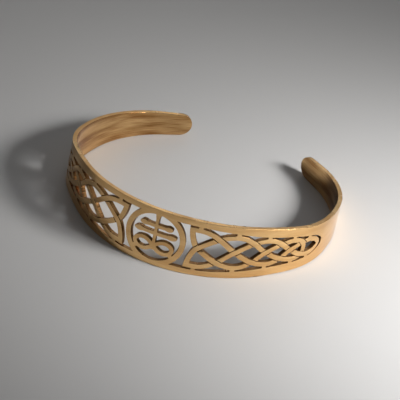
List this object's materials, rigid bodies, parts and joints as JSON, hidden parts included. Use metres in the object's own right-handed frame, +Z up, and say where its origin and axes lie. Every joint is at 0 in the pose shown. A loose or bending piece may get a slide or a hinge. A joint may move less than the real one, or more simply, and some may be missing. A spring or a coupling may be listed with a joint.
{
  "type": "cuff bracelet",
  "caption": "Open oval cuff bracelet: a tapered gold-coloured metal band with a pierced knotwork front, a round pierced medallion and plain round tails.",
  "frame": {"origin": "centre of the bounding box, on the surface that the cuff lies on", "axes": "+X across the oval, towards the right tail as the front is seen; +Y from the pierced front to the back gap; +Z up from the surface, across the band's width"},
  "size_m": [0.0626, 0.054, 0.014],
  "materials": {
    "gold_plate": "gold-plated brass, polished, with fine handling scratches"
  },
  "bodies": {
    "root": {"cuff_band": "gold_plate"}
  },
  "joints": []
}
